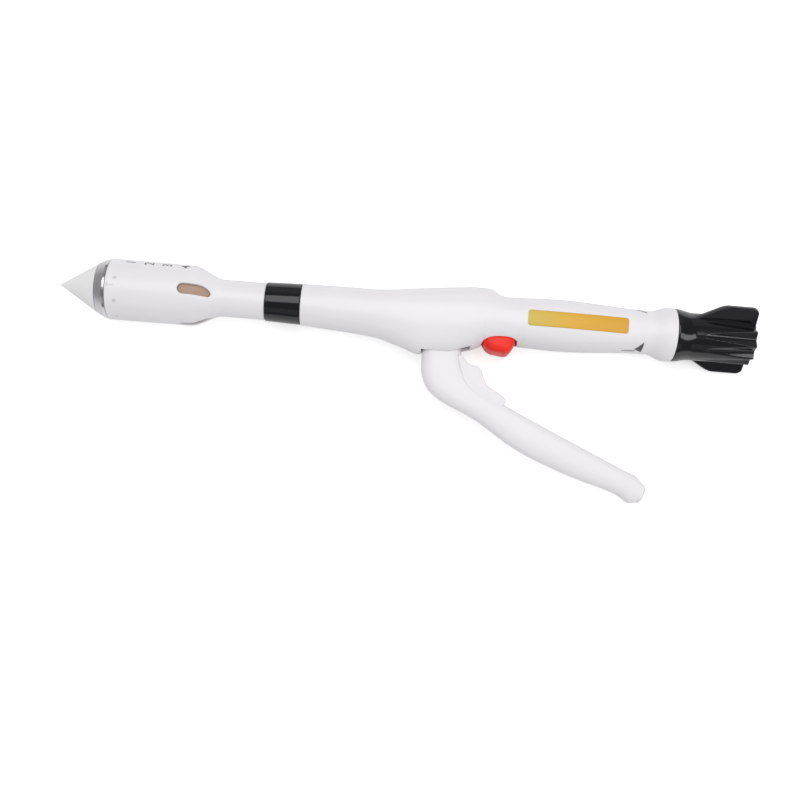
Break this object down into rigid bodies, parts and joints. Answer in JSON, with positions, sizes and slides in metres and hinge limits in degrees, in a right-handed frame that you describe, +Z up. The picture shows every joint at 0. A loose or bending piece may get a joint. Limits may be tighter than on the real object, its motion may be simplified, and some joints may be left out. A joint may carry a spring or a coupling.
{
  "type": "circular stapler",
  "caption": "Single-use circular surgical stapler with a cone-nosed anvil, a long firing lever, a red safety catch and a winged adjusting knob.",
  "frame": {"origin": "centre of the bounding box on the surface that the stapler lies on", "axes": "+X along the barrel from the anvil's nose to the adjusting knob, +Y from the firing lever to the barrel, +Z up through the stapler's flanks"},
  "size_m": [0.3778, 0.1104, 0.0332],
  "materials": {
    "white_abs": "smooth moulded ABS, satin gloss",
    "nose_white": "fine matte moulded plastic",
    "black_gloss": "polished black plastic",
    "red_plastic": "satin red plastic",
    "tan_plastic": "matte tan plastic",
    "ivory_plastic": "matte ivory nylon",
    "steel": "fine turned stainless steel",
    "spring_steel": "bright drawn wire",
    "brass": "machined brass"
  },
  "bodies": {
    "housing": {"head_casing": "white_abs", "band_sleeve": "black_gloss", "staple_cartridge": "ivory_plastic", "front_guide": "ivory_plastic", "rear_guide": "ivory_plastic", "screw_guide": "ivory_plastic", "housing_left": "white_abs", "housing_right": "white_abs", "lever_pin": "steel", "catch_pin": "steel", "thrust_washer": "steel"},
    "anvil": {"anvil_nose": "nose_white", "anvil_head": "steel", "cutting_ring": "ivory_plastic", "anvil_shaft": "steel", "tie_rod": "steel", "lead_screw": "steel"},
    "pusher": {"staple_pusher": "ivory_plastic", "circular_knife": "steel", "driver_sleeve": "tan_plastic", "push_tube": "steel", "push_collar": "ivory_plastic", "return_spring": "spring_steel"},
    "lever": {"firing_lever": "white_abs", "lever_insert": "white_abs"},
    "catch": {"safety_catch": "red_plastic"},
    "knob": {"adjusting_knob": "black_gloss", "knob_nut": "brass", "retaining_ring": "spring_steel"}
  },
  "joints": [
    {"name": "knob_turn", "type": "hinge", "parent": "housing", "child": "knob", "pos_m": [0.14595, 0.03799, 0.0166], "axis": [1, 0, 0], "range_deg": [0, 1800.5]},
    {"name": "anvil_slide", "type": "slide", "parent": "housing", "child": "anvil", "axis": [-1, 0, 0], "range_m": [0, 0.025]},
    {"name": "lever_squeeze", "type": "hinge", "parent": "housing", "child": "lever", "pos_m": [0.01975, 0.02499, 0.0166], "axis": [0, 0, 1], "range_deg": [0, 20], "stiffness_Nm_per_rad": 0.4, "springref_deg": -14.32},
    {"name": "push_slide", "type": "slide", "parent": "housing", "child": "pusher", "axis": [-1, 0, 0], "range_m": [0, 0.00466], "deforming": ["return_spring"]},
    {"name": "catch_turn", "type": "hinge", "parent": "housing", "child": "catch", "pos_m": [0.04605, 0.03139, 0.0166], "axis": [0, 0, 1], "range_deg": [0, 18]}
  ],
  "couplings": [
    {"joint": "knob_turn", "follows": "anvil_slide", "rad_per_m": 1256.6},
    {"joint": "push_slide", "follows": "lever_squeeze", "m_per_rad": 0.013134}
  ]
}
